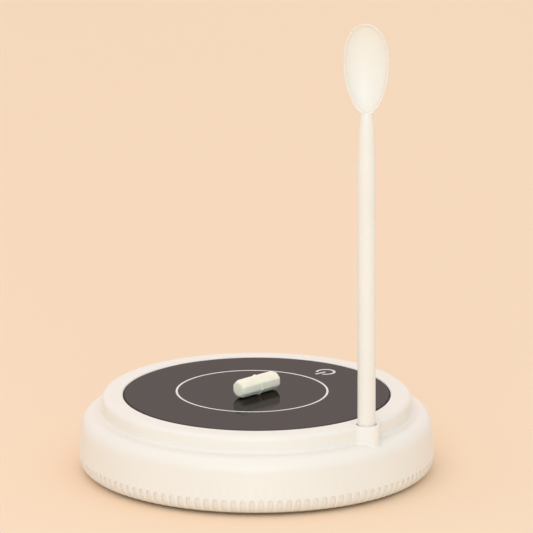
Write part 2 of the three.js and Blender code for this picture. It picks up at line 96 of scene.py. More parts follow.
def length(name, description, millimetres):
    return FloatProperty(
        name=name, description=description, default=millimetres * MM, unit="LENGTH", precision=5
    )


def colour(name, description, rgb):
    return FloatVectorProperty(
        name=name, description=description, default=rgb, size=3, min=0, max=1, subtype="COLOR"
    )


class STIRRER_PG_sizes(bpy.types.PropertyGroup):
    """Sizes of the visible pieces."""

    groove_count: IntProperty(
        name="Grooves", description="Grip grooves round the lower edge", default=120, min=8
    )
    groove_width: length("Groove width", "Width of one grip groove", 1.9)
    groove_depth: length("Groove depth", "How deep a grip groove is cut", 0.75)
    socket_side: length("Socket side", "Side of the square socket block at the rim", 8.8)
    socket_corner: length("Socket corner", "Corner radius of the socket block", 2.6)
    socket_bore: length("Socket bore", "Radius of the hole the spoon stands in", 3.4)
    ring_radius: length("Ring radius", "Radius of the printed ring on the glass", 25.5)
    ring_line: length("Ring line", "Line width of the printed ring", 0.7)
    icon_radius: length("Icon radius", "Outer radius of the power mark", 3.36)
    icon_line: length("Icon line", "Line width of the power mark", 0.8)
    stem_radius: length("Stem radius", "Radius of the spoon's stem", 3.05)
    bowl_half_width: length("Bowl half width", "Half the width of the spoon's bowl", 7.83)
    bar_flats: length("Bar flats", "Width of the stir bar across its flats", 5.9)
    bar_ring_flats: length("Bar ring", "Width of the stir bar's pivot ring", 6.3)


class STIRRER_PG_colours(bpy.types.PropertyGroup):
    """Colours of the visible pieces."""

    cream: colour("Cream", "Moulded housing and spoon", (0.88, 0.82, 0.74))
    glass: colour("Glass", "Back-painted deck glass", (0.012, 0.005, 0.004))
    print_white: colour("Print", "Screen print on the glass", (0.80, 0.78, 0.76))
    ptfe: colour("PTFE", "Jacket of the stir bar", (0.98, 0.90, 0.72))
    rubber: colour("Rubber", "Feet", (0.03, 0.03, 0.03))
    floor: colour("Floor", "Studio floor", (0.94, 0.72, 0.515))


# ---- mesh helpers ----------------------------------------------------------------------


def arc(centre, across, up, start, end, steps):
    """(radius, height) points on an elliptical arc, angles in degrees."""
    points = []
    for step in range(steps + 1):
        angle = math.radians(start + (end - start) * step / steps)
        points.append((centre[0] + across * math.cos(angle), centre[1] + up * math.sin(angle)))
    return points


def filleted(corners, steps=4):
    """(radius, height) points of an outline whose corners (radius, height, fillet) are rounded."""
    points = []
    last = len(corners) - 1
    for index, (radius, height, fillet) in enumerate(corners):
        corner = Vector((radius, height))
        if fillet == 0 or index in (0, last):
            points.append((radius, height))
            continue
        back = (Vector(corners[index - 1][:2]) - corner).normalized()
        ahead = (Vector(corners[index + 1][:2]) - corner).normalized()
        half = back.angle(ahead) / 2
        middle = corner + (back + ahead).normalized() * fillet / math.sin(half)
        start = corner + back * fillet / math.tan(half) - middle
        end = corner + ahead * fillet / math.tan(half) - middle
        for step in range(steps + 1):
            spoke = start.lerp(end, step / steps).normalized() * fillet
            points.append(tuple(middle + spoke))
    return points


def in_metres(points):
    return [(radius * MM, height * MM) for radius, height in points]


def revolve(bm, outline, steps, closed=False):
    """Turns an outline in the XZ plane once about the vertical axis."""
    verts = [bm.verts.new((radius, 0, height)) for radius, height in outline]
    edges = [bm.edges.new(pair) for pair in zip(verts, verts[1:])]
    if closed:
        edges.append(bm.edges.new((verts[-1], verts[0])))
    bmesh.ops.spin(
        bm, geom=verts + edges, axis=(0, 0, 1), angle=2 * math.pi, steps=steps, use_merge=True
    )
    clean(bm)


def clean(bm):
    """Closes seams and poles and turns every face outwards."""
    bmesh.ops.remove_doubles(bm, verts=bm.verts, dist=0.5e-6)
    bmesh.ops.dissolve_degenerate(bm, edges=bm.edges, dist=1e-7)
    bmesh.ops.recalc_face_normals(bm, faces=bm.faces)


def rounded_block(bm, width, depth, bottom, top, corner, segments=8):
    """A standing block whose four upright edges are rounded, centred on the vertical axis."""
    made = bmesh.ops.create_cube(bm, size=1)
    bmesh.ops.scale(bm, vec=(width, depth, top - bottom), verts=made["verts"])
    bmesh.ops.translate(bm, vec=(0, 0, (bottom + top) / 2), verts=made["verts"])
    upright = [edge for edge in bm.edges if is_upright(edge)]
    round_edges(bm, upright, corner, segments)


def is_upright(edge):
    along = edge.verts[0].co - edge.verts[1].co
    return abs(along.z) > 0.99 * along.length


def round_edges(bm, edges, radius, segments):
    bmesh.ops.bevel(
        bm,
        geom=edges,
        offset=radius,
        offset_type="OFFSET",
        affect="EDGES",
        segments=segments,
        profile=0.5,
        material=-1,
        clamp_overlap=True,
    )


def new_object(bm, name):
    """An object at the origin made from a bmesh, which is freed."""
    mesh = bpy.data.meshes.new(name)
    bm.to_mesh(mesh)
    bm.free()
    piece = bpy.data.objects.new(name, mesh)
    bpy.context.scene.collection.objects.link(piece)
    return piece


def combine(piece, tool, operation):
    """Joins a tool solid to a piece, or cuts it away, and removes the tool."""
    modifier = piece.modifiers.new("combine", "BOOLEAN")
    modifier.object = tool
    modifier.operation = operation
    modifier.solver = "MANIFOLD"
    depsgraph = bpy.context.evaluated_depsgraph_get()
    made = bpy.data.meshes.new_from_object(piece.evaluated_get(depsgraph))
    piece.modifiers.clear()
    old = piece.data
    piece.data = made
    made.name = piece.name
    bpy.data.meshes.remove(old)
    tool_mesh = tool.data
    bpy.data.objects.remove(tool)
    bpy.data.meshes.remove(tool_mesh)
    if len(made.polygons) == 0:
        raise RuntimeError(f"nothing is left of {piece.name} after {operation}")


def finish_piece(piece, material, body, replaced=(), crease=30):
    """Shades a piece, gives it its material, and ties it to the frame."""
    piece.data.shade_smooth()
    piece.data.set_sharp_from_angle(angle=math.radians(crease))
    piece.data.materials.clear()
    piece.data.materials.append(material)
    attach(piece, body)
    if replaced:
        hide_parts(*replaced)
    return piece


# ---- materials -------------------------------------------------------------------------


def pick_socket(sockets, name, kind):
    """A Mix node has several sockets of one name, one for each kind of value."""
    return next(item for item in sockets if item.identifier == f"{name}_{kind}")


class Finish:
    """A Principled material with its nodes at hand. Patterns read Object coordinates."""

    def __init__(self, name, colour, roughness, metallic=0.0):
        name = f"stirrer_{name}"
        self.material = bpy.data.materials.get(name)
        self.ready = self.material is not None
        if self.ready:
            return
        self.material = bpy.data.materials.new(name)
        self.material.use_nodes = True
        self.nodes = self.material.node_tree.nodes
        self.links = self.material.node_tree.links
        self.shader = self.nodes["Principled BSDF"]
        self.shader.inputs["Base Color"].default_value = (*colour, 1)
        self.shader.inputs["Roughness"].default_value = roughness
        self.shader.inputs["Metallic"].default_value = metallic
        self.colour = colour
        self.place = self.nodes.new("ShaderNodeTexCoord").outputs["Object"]

    def set(self, **values):
        for name, value in values.items():
            self.shader.inputs[name.replace("_", " ")].default_value = value

    def noise(self, size, detail=3.0, stretch=(1, 1, 1)):
        """A noise whose blotches are about one size across, in metres."""
        mapping = self.nodes.new("ShaderNodeMapping")
        mapping.inputs["Scale"].default_value = stretch
        texture = self.nodes.new("ShaderNodeTexNoise")
        texture.inputs["Scale"].default_value = 1 / size
        texture.inputs["Detail"].default_value = detail
        self.links.new(self.place, mapping.inputs["Vector"])
        self.links.new(mapping.outputs["Vector"], texture.inputs["Vector"])
        return texture.outputs["Fac"]

    def spread(self, factor, low, high):
        """Maps the middle of a noise to a range of values."""
        node = self.nodes.new("ShaderNodeMapRange")
        node.inputs["From Min"].default_value = 0.3
        node.inputs["From Max"].default_value = 0.7
        node.inputs["To Min"].default_value = low
        node.inputs["To Max"].default_value = high
        self.links.new(factor, node.inputs["Value"])
        return node.outputs["Result"]

    def tint(self, factor, amount):
        """Varies the colour between a darker and a lighter shade of itself."""
        mix = self.nodes.new("ShaderNodeMix")
        mix.data_type = "RGBA"
        mix.inputs["A"].default_value = (*(channel * (1 - amount) for channel in self.colour), 1)
        mix.inputs["B"].default_value = (*(min(channel * (1 + amount), 1) for channel in self.colour), 1)
        self.links.new(self.spread(factor, 0, 1), mix.inputs["Factor"])
        self.links.new(mix.outputs["Result"], self.shader.inputs["Base Color"])

    def gloss(self, factor, low, high):
        self.links.new(self.spread(factor, low, high), self.shader.inputs["Roughness"])

    def ground_edge_with_painted_highlight(self, radius, colour, roughness):
        """Gives what lies further than a radius from the vertical axis another colour and roughness: on
        the glass, a matte ground edge with a painted highlight.
        """
        flat = self.nodes.new("ShaderNodeVectorMath")
        flat.operation = "MULTIPLY"
        flat.inputs[1].default_value = (1, 1, 0)
        reach = self.nodes.new("ShaderNodeVectorMath")
        reach.operation = "LENGTH"
        beyond = self.nodes.new("ShaderNodeMath")
        beyond.operation = "GREATER_THAN"
        beyond.inputs[1].default_value = radius
        self.links.new(self.place, flat.inputs[0])
        self.links.new(flat.outputs["Vector"], reach.inputs[0])
        self.links.new(reach.outputs["Value"], beyond.inputs[0])
        for name, value in (("Base Color", (*colour, 1)), ("Roughness", roughness)):
            socket = self.shader.inputs[name]
            mix = self.nodes.new("ShaderNodeMix")
            mix.data_type = "RGBA" if name == "Base Color" else "FLOAT"
            kind = "Color" if name == "Base Color" else "Float"
            before, after = (pick_socket(mix.inputs, letter, kind) for letter in "AB")
            self.links.new(socket.links[0].from_socket, before)
            after.default_value = value
            self.links.new(beyond.outputs["Value"], pick_socket(mix.inputs, "Factor", "Float"))
            self.links.new(pick_socket(mix.outputs, "Result", kind), socket)

    def relief(self, factor, depth, strength=1.0):
        bump = self.nodes.new("ShaderNodeBump")
        bump.inputs["Strength"].default_value = strength
        bump.inputs["Distance"].default_value = depth
        self.links.new(factor, bump.inputs["Height"])
        self.links.new(bump.outputs["Normal"], self.shader.inputs["Normal"])


def moulded_cream(name, colour, grain):
    """Satin moulded plastic: a fine spark-eroded grain over very faint flow clouds."""
    finish = Finish(name, colour, 0.42)
    if not finish.ready:
        finish.set(IOR=1.5, Subsurface_Weight=0.06, Subsurface_Scale=0.8 * MM)
        finish.shader.inputs["Subsurface Radius"].default_value = (1.0, 0.75, 0.5)
        finish.tint(finish.noise(18 * MM, 2), 0.012)
        finish.gloss(finish.noise(0.5 * MM, 4), 0.38, 0.47)
        finish.relief(finish.noise(grain, 2), 0.006 * MM, 0.5)
    return finish.material


def deck_glass(colour):
    """Polished glass painted on its back: almost black, with faint wiping marks, and a matte ground edge
    lightened to grey as a painted highlight.
    """
    finish = Finish("deck_glass", colour, 0.03)
    if not finish.ready:
        finish.set(IOR=1.12)
        finish.tint(finish.noise(30 * MM, 1), 0.15)
        finish.gloss(finish.noise(9 * MM, 5, (1, 0.35, 1)), 0.025, 0.06)
        # the bevel ring is matte like a ground edge, and its lighter grey is a painted highlight for the
        # light the bevel catches
        finish.ground_edge_with_painted_highlight(GLASS_EDGE - GLASS_BEVEL, (0.07, 0.065, 0.06), 0.4)
    return finish.material


def screen_print(colour):
    """A thin layer of ceramic ink with the grain of the screen."""
    finish = Finish("printed_white", colour, 0.5)
    if not finish.ready:
        finish.tint(finish.noise(0.3 * MM, 2), 0.03)
        finish.relief(finish.noise(0.12 * MM, 1), 0.003 * MM)
    return finish.material


def waxy_ptfe(colour):
    """Turned white fluoropolymer: waxy, a little translucent, with soft clouds."""
    finish = Finish("waxy_ptfe", colour, 0.42)
    if not finish.ready:
        finish.set(IOR=1.38, Subsurface_Weight=0.15, Subsurface_Scale=1.0 * MM)
        finish.tint(finish.noise(2.5 * MM, 3), 0.03)
        finish.gloss(finish.noise(1.0 * MM, 3), 0.36, 0.5)
        finish.relief(finish.noise(0.25 * MM, 2), 0.004 * MM)
    return finish.material


def matt_rubber(colour):
    finish = Finish("foot_rubber", colour, 0.8)
    if not finish.ready:
        finish.set(IOR=1.45)
        finish.tint(finish.noise(1.5 * MM, 4), 0.25)
        finish.gloss(finish.noise(0.4 * MM, 3), 0.7, 0.92)
        finish.relief(finish.noise(0.2 * MM, 3), 0.01 * MM)
    return finish.material


def plated_metal(name, colour, low, high, grain=0.6):
    """Plated or drawn metal with fine marks in its gloss."""
    finish = Finish(name, colour, low, 1.0)
    if not finish.ready:
        finish.tint(finish.noise(3 * MM, 3), 0.05)
        finish.gloss(finish.noise(grain * MM, 4), low, high)
        finish.relief(finish.noise(0.15 * MM, 2), 0.002 * MM)
    return finish.material


def wound_copper():
    """Enamelled wire lying in close turns round the armature's poles."""
    finish = Finish("winding_copper", (0.62, 0.25, 0.10), 0.3, 1.0)
    if not finish.ready:
        finish.tint(finish.noise(0.6 * MM, 2, (1, 1, 4)), 0.3)
        finish.gloss(finish.noise(0.4 * MM, 2, (1, 1, 4)), 0.22, 0.4)
        finish.relief(finish.noise(0.3 * MM, 0, (0.3, 0.3, 2)), 0.03 * MM)
    return finish.material


def plain_plastic(name, colour, roughness, clouds=0.04):
    finish = Finish(name, colour, roughness)
    if not finish.ready:
        finish.set(IOR=1.5)
        finish.tint(finish.noise(4 * MM, 3), clouds)
        finish.gloss(finish.noise(0.8 * MM, 3), roughness * 0.88, roughness * 1.12)
        finish.relief(finish.noise(0.2 * MM, 2), 0.005 * MM)
    return finish.material


def foam_tape():
    """Closed-cell foam: open bubbles at its cut edge."""
    finish = Finish("black_foam", (0.03, 0.03, 0.03), 0.95)
    if not finish.ready:
        cells = finish.nodes.new("ShaderNodeTexVoronoi")
        cells.inputs["Scale"].default_value = 1 / (0.35 * MM)
        finish.links.new(finish.place, cells.inputs["Vector"])
        finish.tint(finish.noise(0.5 * MM, 3), 0.3)
        finish.relief(cells.outputs["Distance"], 0.06 * MM)
    return finish.material


def solder_masked_board():
    """Green laminate: the weave shows faintly under the mask."""
    finish = Finish("board_green", (0.02, 0.12, 0.05), 0.3)
    if not finish.ready:
        weave = finish.nodes.new("ShaderNodeTexWave")
        weave.inputs["Scale"].default_value = 1 / (2.2 * MM)
        weave.inputs["Distortion"].default_value = 3.0
        weave.inputs["Detail"].default_value = 0.0
        finish.links.new(finish.place, weave.inputs["Vector"])
        finish.tint(weave.outputs["Fac"], 0.35)
        finish.gloss(finish.noise(0.6 * MM, 2), 0.24, 0.38)
        finish.relief(weave.outputs["Fac"], 0.03 * MM)
    return finish.material


def pouch_foil():
    """Laminated battery foil with a soft crumple."""
    finish = Finish("battery_foil", (0.42, 0.47, 0.53), 0.35, 0.7)
    if not finish.ready:
        finish.tint(finish.noise(6 * MM, 3), 0.08)
        finish.gloss(finish.noise(2 * MM, 3), 0.28, 0.45)
        finish.relief(finish.noise(5 * MM, 2), 0.12 * MM)
    return finish.material


def studio_paper(colour):
    finish = Finish("studio_paper", colour, 0.9)
    if not finish.ready:
        finish.tint(finish.noise(0.4, 2), 0.01)
        finish.relief(finish.noise(2 * MM, 3), 0.02 * MM, 0.3)
    return finish.material


# ---- housing ---------------------------------------------------------------------------

LOWER_EDGE = {"centre": (56.0, 5.5), "across": 4.0, "up": 4.5}
SHOULDER = {"centre": (54.9, 15.2), "across": 4.4, "up": 5.2}
RIM_ROUNDING = {"centre": (50.4, 24.6), "across": 2.0, "up": 2.0}
PORT_WINDOW = {"clearance": 0.33 * MM, "reach": 7 * MM}
TURN_STEPS = 240

# radii and heights of the housing's wall, in millimetres
LIP_INSIDE = 54.8  # the lower lip that the base plate fits in
LIP_TOP = 3.0
RIM_RADIUS = 52.4
RIM_FOOT = 20.4  # where the rim stands on the shoulder
WELL_RADIUS = 45.25  # the well that the glass lies in
SHELF_INSIDE = 41.0
SHELF_TOP, SHELF_UNDER = 23.0, 21.2
RIM_INSIDE, RIM_UNDER = 50.0, 18.2
WALL_INSIDE, WALL_TOP, WALL_FOOT = 57.2, 14.0, 5.8


def shell_outline():
    """The housing wall's cross-section, outside from the lip upwards and then back inside."""
    deck, bottom = DECK / MM, BODY_BOTTOM / MM
    outside = filleted([(LIP_INSIDE, LIP_TOP, 0), (LIP_INSIDE, bottom, 0.25), (55.9, bottom, 0)])
    outside += arc(**LOWER_EDGE, start=-84, end=0, steps=10)
    outside += arc(**SHOULDER, start=0, end=90, steps=14)
    foot = (RIM_RADIUS, RIM_FOOT, 0.9)
    outside += filleted([(54.5, RIM_FOOT, 0), foot, (RIM_RADIUS, SHELF_TOP, 0)], 6)
    outside += arc(**RIM_ROUNDING, start=0, end=90, steps=8)
    well = filleted(
        [
            (49.0, deck, 0),
            (WELL_RADIUS, deck, 0.6),
            (WELL_RADIUS, SHELF_TOP, 0.1),
            (SHELF_INSIDE, SHELF_TOP, 0.3),
        ],
        5,
    )
    inside = filleted(
        [
            (SHELF_INSIDE, SHELF_TOP - 0.1, 0),
            (SHELF_INSIDE, SHELF_UNDER, 0.3),
            (RIM_INSIDE, SHELF_UNDER, 0.4),
            (RIM_INSIDE, RIM_UNDER, 0.4),
            (54.0, RIM_UNDER, 1.0),
            (56.4, 16.4, 1.0),
            (WALL_INSIDE, WALL_TOP, 1.0),
            (WALL_INSIDE, WALL_FOOT, 0.5),
            (LIP_INSIDE, 4.4, 0.4),
            (LIP_INSIDE, LIP_TOP + 0.1, 0),
        ]
    )
    return in_metres(outside + well + inside)


def groove_floor(height, depth):
    """Radius of a groove's floor at a height: it runs out with the curve of the lower edge."""
    centre_radius, centre_height = LOWER_EDGE["centre"]
    drop = max(centre_height - height / MM, 0) / LOWER_EDGE["up"]
    bulge = math.sqrt(max(1 - drop * drop, 0))
    return (centre_radius + (LOWER_EDGE["across"] - depth / MM) * bulge) * MM


GROOVE_FOOT, GROOVE_TOP = 0.5 * MM, 6.3 * MM
CLEAR = 2 * MM  # how far a cutter stands out beyond what it cuts


def groove_cutters(sizes):
    """Arched cutters for all the grip grooves round the lower edge."""
    half = sizes.groove_width / 2
    spring = GROOVE_TOP - half  # height where the round top begins
    bm = bmesh.new()
    made = bmesh.ops.create_grid(bm, x_segments=2, y_segments=7, size=1)
    for vert in made["verts"]:
        across, up = vert.co.x, (vert.co.y + 1) / 2
        if up < 0.5:
            height = GROOVE_FOOT + (spring - GROOVE_FOOT) * up / 0.5
            reach = half
        else:
            angle = (up - 0.5) * math.pi * 0.98
            height = spring + half * math.sin(angle)
            reach = half * math.cos(angle)
        vert.co = (groove_floor(height, sizes.groove_depth), across * reach, height)
    grown = bmesh.ops.extrude_face_region(bm, geom=list(bm.faces))["geom"]
    for vert in (item for item in grown if isinstance(item, bmesh.types.BMVert)):
        vert.co.x = BODY_RADIUS + CLEAR
    clean(bm)
    pitch = 2 * math.pi / sizes.groove_count
    bmesh.ops.rotate(bm, verts=bm.verts, matrix=Matrix.Rotation(pitch / 2, 3, "Z"))
    bmesh.ops.spin(
        bm,
        geom=list(bm.verts) + list(bm.edges) + list(bm.faces),
        axis=(0, 0, 1),
        angle=2 * math.pi - pitch,
        steps=sizes.groove_count - 1,
        use_duplicate=True,
    )
    bmesh.ops.recalc_face_normals(bm, faces=bm.faces)
    return new_object(bm, "groove_cutters")


SOCKET_FLOOR = 1.8 * MM  # under the spoon's foot
SOCKET_FILLET = 0.7 * MM
SOCKET_TOP_EDGE = 0.35 * MM
MOUTH_CHAMFER = 0.25 * MM


def socket_block(sizes):
    """The square block that holds the spoon, from inside the housing up to the deck."""
    bm = bmesh.new()
    bottom = SPOON_LOW[2] - SOCKET_FLOOR
    rounded_block(bm, sizes.socket_side, sizes.socket_side, bottom, DECK, sizes.socket_corner, 10)
    top_edges = [edge for edge in bm.edges if all(abs(vert.co.z - DECK) < 1e-7 for vert in edge.verts)]
    round_edges(bm, top_edges, SOCKET_TOP_EDGE, 3)
    bmesh.ops.translate(bm, verts=bm.verts, vec=plan_stem())
    clean(bm)
    return new_object(bm, "socket_block")


def shoulder_height(radius):
    """How high the housing's shoulder stands at a distance from the middle."""
    centre_radius, centre_height = SHOULDER["centre"]
    reach = max(radius / MM - centre_radius, 0) / SHOULDER["across"]
    return (centre_height + SHOULDER["up"] * math.sqrt(max(1 - reach * reach, 0))) * MM


def socket_skirt(sizes):
    """The fillet between the socket block and the shoulder it stands on."""
    half, fillet, steps = sizes.socket_side / 2, SOCKET_FILLET, 8
    middle = plan_stem()
    bm = bmesh.new()
    rounded_block(bm, sizes.socket_side, sizes.socket_side, 0, 1, sizes.socket_corner, 10)
    upper = [vert for vert in bm.verts if vert.co.z > 0.5]
    bmesh.ops.delete(bm, geom=upper, context="VERTS")
    bmesh.ops.delete(bm, geom=list(bm.faces), context="FACES_ONLY")
    turns = [math.radians(90 * step / steps) for step in range(steps + 1)]
    levels = [(fillet, -2 * MM)]
    levels += [(fillet * (1 - math.sin(turn)), fillet * (1 - math.cos(turn))) for turn in turns]
    levels += [(-0.6 * MM, fillet)]
    outline = list(bm.verts) + list(bm.edges)
    below = []
    for offset, rise in levels:
        copied = bmesh.ops.duplicate(bm, geom=outline)["geom"]
        ring = [item for item in copied if isinstance(item, bmesh.types.BMEdge)]
        for vert in (item for item in copied if isinstance(item, bmesh.types.BMVert)):
            place = vert.co * (1 + offset / half) + middle
            vert.co = (place.x, place.y, shoulder_height(place.xy.length) + rise)
        if below:
            bmesh.ops.bridge_loops(bm, edges=below + ring)
        below = ring
    spare = [item for item in outline if isinstance(item, bmesh.types.BMVert)]
    bmesh.ops.delete(bm, geom=spare, context="VERTS")
    bmesh.ops.holes_fill(bm, edges=[edge for edge in bm.edges if edge.is_boundary], sides=0)
    clean(bm)
    return new_object(bm, "socket_skirt")


def socket_bore(sizes):
    """The hole in the block, with a broken edge at its mouth."""
    radius = sizes.socket_bore
    bottom = SPOON_LOW[2] - 0.3 * MM
    mouth = MOUTH_CHAMFER
    outline = [
        (0, bottom),
        (radius, bottom),
        (radius, DECK - mouth),
        (radius + mouth, DECK + 0.01 * MM),
        (radius + mouth, DECK + CLEAR),
        (0, DECK + CLEAR),
    ]
    bm = bmesh.new()
    revolve(bm, outline, 64)
    bmesh.ops.translate(bm, verts=bm.verts, vec=plan_stem())
    return new_object(bm, "socket_bore")


def port_window(sizes):
    """The hole for the charging port in the rear of the wall."""
    width = PORT_HIGH[0] - PORT_LOW[0] + 2 * PORT_WINDOW["clearance"]
    tall = PORT_HIGH[2] - PORT_LOW[2] + 2 * PORT_WINDOW["clearance"]
    bm = bmesh.new()
    rounded_block(bm, width, tall, 0, 2 * PORT_WINDOW["reach"], tall * 0.4, 8)
    bmesh.ops.rotate(bm, verts=bm.verts, matrix=Matrix.Rotation(math.radians(-90), 3, "X"))
    middle = (PORT_LOW[2] + PORT_HIGH[2]) / 2
    bmesh.ops.translate(bm, verts=bm.verts, vec=(0, BODY_RADIUS - PORT_WINDOW["reach"], middle))
    clean(bm)
    return new_object(bm, "port_window")


def build_housing(sizes, colours):
    bm = bmesh.new()
    revolve(bm, shell_outline(), TURN_STEPS, closed=True)
    shell = new_object(bm, "housing_shell")
    combine(shell, groove_cutters(sizes), "DIFFERENCE")
    combine(shell, socket_block(sizes), "UNION")
    combine(shell, socket_skirt(sizes), "UNION")
    combine(shell, socket_bore(sizes), "DIFFERENCE")
    combine(shell, port_window(sizes), "DIFFERENCE")
    cream = moulded_cream("housing_cream", colours.cream, 0.16 * MM)
    return finish_piece(shell, cream, "housing", ["top_shell"], 28)


# ---- deck ------------------------------------------------------------------------------

PRINT_HEIGHT = 0.02 * MM
RING_OFFSET = Vector((-1.57, 3.0, 0)) * MM  # the print stands a little off the disc's centre
ICON_GAP = (180, 247)  # opening of the power mark's circle, in degrees
ICON_BAR = 218.5  # direction of the power mark's stroke, in degrees
ICON_BAR_LENGTH = 4.5 * MM


def build_glass(sizes, colours):
    radius, bottom, top = GLASS_EDGE, GLASS_LOW[2], GLASS_HIGH[2]
    bevel = GLASS_BEVEL
    outline = [
        (0, bottom),
        (radius - bevel, bottom),
        (radius, bottom + bevel),
        (radius, top - bevel),
        (radius - 0.3 * bevel, top - 0.3 * bevel),
        (radius - bevel, top),
        (0, top),
    ]
    bm = bmesh.new()
    revolve(bm, outline, TURN_STEPS)
    glass = new_object(bm, "deck_glass")
    return finish_piece(glass, deck_glass(colours.glass), "housing", ["glass_plate"], 20)


# beyond_glass and below_deck size the black lip that is painted shade for the gap round the glass
SEAL = {"inner": 42 * MM, "gap": 0.02 * MM, "beyond_glass": 0.33 * MM, "below_deck": 0.35 * MM}


def build_seal_and_shade_lip():
    """The black seal that the glass lies on. Its lip, turned up round the glass's edge, is a dark sheet
    that stands in for the shade in the gap between the glass and the rim.
    """
    low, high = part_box("glass_gasket")
    inner, flat = SEAL["inner"], high[2]
    edge, well = GLASS_EDGE + SEAL["gap"], GLASS_HIGH[0] + SEAL["beyond_glass"]
    shade_lip = GLASS_HIGH[2] - SEAL["below_deck"]
    outline = [(inner, low[2]), (well, low[2]), (well, shade_lip), (edge, shade_lip), (edge, flat), (inner, flat)]
    bm = bmesh.new()
    revolve(bm, outline, TURN_STEPS, closed=True)
    seal = new_object(bm, "glass_seal_and_shade_lip")
    finish_piece(seal, foam_tape(), "housing", ["glass_gasket"])


def printed_arc(radius, line, start, end, steps):
    """A thin printed line along part of a circle, its centre on the vertical axis."""
    top = GLASS_HIGH[2] + PRINT_HEIGHT
    section = [
        (radius - line / 2, top),
        (radius + line / 2, top),
        (radius + line / 2, GLASS_HIGH[2] - PRINT_HEIGHT),
        (radius - line / 2, GLASS_HIGH[2] - PRINT_HEIGHT),
    ]
    bm = bmesh.new()
    verts = [bm.verts.new((across, 0, up)) for across, up in section]
    edges = [bm.edges.new((verts[index - 1], verts[index])) for index in range(4)]
    bmesh.ops.rotate(bm, verts=verts, matrix=Matrix.Rotation(math.radians(start), 3, "Z"))
    whole = end - start == 360
    bmesh.ops.spin(
        bm,
        geom=verts + edges,
        axis=(0, 0, 1),
        angle=math.radians(end - start),
        steps=steps,
        use_merge=whole,
    )
    bmesh.ops.holes_fill(bm, edges=[edge for edge in bm.edges if edge.is_boundary], sides=4)
    clean(bm)
    return bm


def build_prints(sizes, colours):
    ink = screen_print(colours.print_white)
    bm = printed_arc(sizes.ring_radius, sizes.ring_line, 0, 360, 180)
    bmesh.ops.translate(bm, verts=bm.verts, vec=RING_OFFSET)
    ring = new_object(bm, "printed_ring")
    finish_piece(ring, ink, "housing")

    middle = sizes.icon_radius - sizes.icon_line / 2
    bm = printed_arc(middle, sizes.icon_line, ICON_GAP[1], ICON_GAP[0] + 360, 48)
    bmesh.ops.translate(bm, verts=bm.verts, vec=plan_centre("touch_spring"))
    circle = new_object(bm, "power_mark_circle")
    finish_piece(circle, ink, "housing")

    bm = bmesh.new()
    bottom, top = GLASS_HIGH[2] - PRINT_HEIGHT, GLASS_HIGH[2] + PRINT_HEIGHT
    rounded_block(bm, ICON_BAR_LENGTH, sizes.icon_line, bottom, top, sizes.icon_line * 0.49, 6)
    bmesh.ops.translate(bm, verts=bm.verts, vec=(ICON_BAR_LENGTH / 2, 0, 0))
    bmesh.ops.rotate(bm, verts=bm.verts, matrix=Matrix.Rotation(math.radians(ICON_BAR), 3, "Z"))
    bmesh.ops.translate(bm, verts=bm.verts, vec=plan_centre("touch_spring"))
    clean(bm)
    stroke = new_object(bm, "power_mark_stroke")
    finish_piece(stroke, ink, "housing")


# ---- underside and rear ----------------------------------------------------------------


def build_feet(sizes, colours):
    rubber = matt_rubber(colours.rubber)
    low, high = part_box(FOOT_NODES[0])
    radius, top = (high[0] - low[0]) / 2 / MM, high[2] / MM
    outline = filleted([(0, 0, 0), (radius, 0, 0.5), (radius, top, 0.1), (0, top, 0)], 4)
    for node in FOOT_NODES:
        bm = bmesh.new()
        revolve(bm, in_metres(outline), 32)
        bmesh.ops.translate(bm, verts=bm.verts, vec=plan_centre(node))
        foot = new_object(bm, node.replace("rubber_foot", "foot_pad"))
        finish_piece(foot, rubber, "housing", [node])


PORT_WALL = 0.3 * MM
PORT_TONGUE = {"narrower": 1.6 * MM, "thickness": 0.7 * MM, "setback": 0.8 * MM, "corner": 0.15 * MM}
PORT_ROUNDING = 0.42  # corner radius of the sleeve as a part of its height


def build_charging_port(sizes, colours):
    """A drawn metal sleeve round a black tongue."""
    width, tall = PORT_HIGH[0] - PORT_LOW[0], PORT_HIGH[2] - PORT_LOW[2]
    depth = PORT_HIGH[1] - PORT_LOW[1]
    sleeve_bm = bmesh.new()
    rounded_block(sleeve_bm, width, tall, 0, depth, tall * PORT_ROUNDING, 8)
    clean(sleeve_bm)
    sleeve = new_object(sleeve_bm, "port_sleeve")
    mouth_bm = bmesh.new()
    inner_width, inner_tall = width - 2 * PORT_WALL, tall - 2 * PORT_WALL
    corner = inner_tall * PORT_ROUNDING
    rounded_block(mouth_bm, inner_width, inner_tall, PORT_WALL, depth + 1 * MM, corner, 8)
    clean(mouth_bm)
    combine(sleeve, new_object(mouth_bm, "port_mouth"), "DIFFERENCE")
    tongue_bm = bmesh.new()
    across, tip = inner_width - PORT_TONGUE["narrower"], depth - PORT_TONGUE["setback"]
    root, corner = 0.2 * MM, PORT_TONGUE["corner"]
    rounded_block(tongue_bm, across, PORT_TONGUE["thickness"], root, tip, corner, 3)
    clean(tongue_bm)
    tongue = new_object(tongue_bm, "port_tongue")
    seat = Vector((0, PORT_LOW[1], (PORT_LOW[2] + PORT_HIGH[2]) / 2))
    stand = Matrix.Translation(seat) @ Matrix.Rotation(math.radians(-90), 4, "X")
    sleeve.data.transform(stand)
    tongue.data.transform(stand)
    steel = plated_metal("port_steel", (0.62, 0.62, 0.64), 0.22, 0.34)
    finish_piece(sleeve, steel, "housing", ["charging_port"])
    black = plain_plastic("port_black", (0.02, 0.02, 0.022), 0.4)
    finish_piece(tongue, black, "housing")


# ---- stir bar --------------------------------------------------------------------------

BAR_LENGTH = 18 * MM
BAR_END = {"face_in": 0.95 * MM, "knee_in": 0.3 * MM, "knee": 0.5 * MM, "taper": 1.3 * MM}
BAR_RING = {"foot": 0.55 * MM, "crest": 0.4 * MM}
BAR_ROUNDING = 0.28 * MM


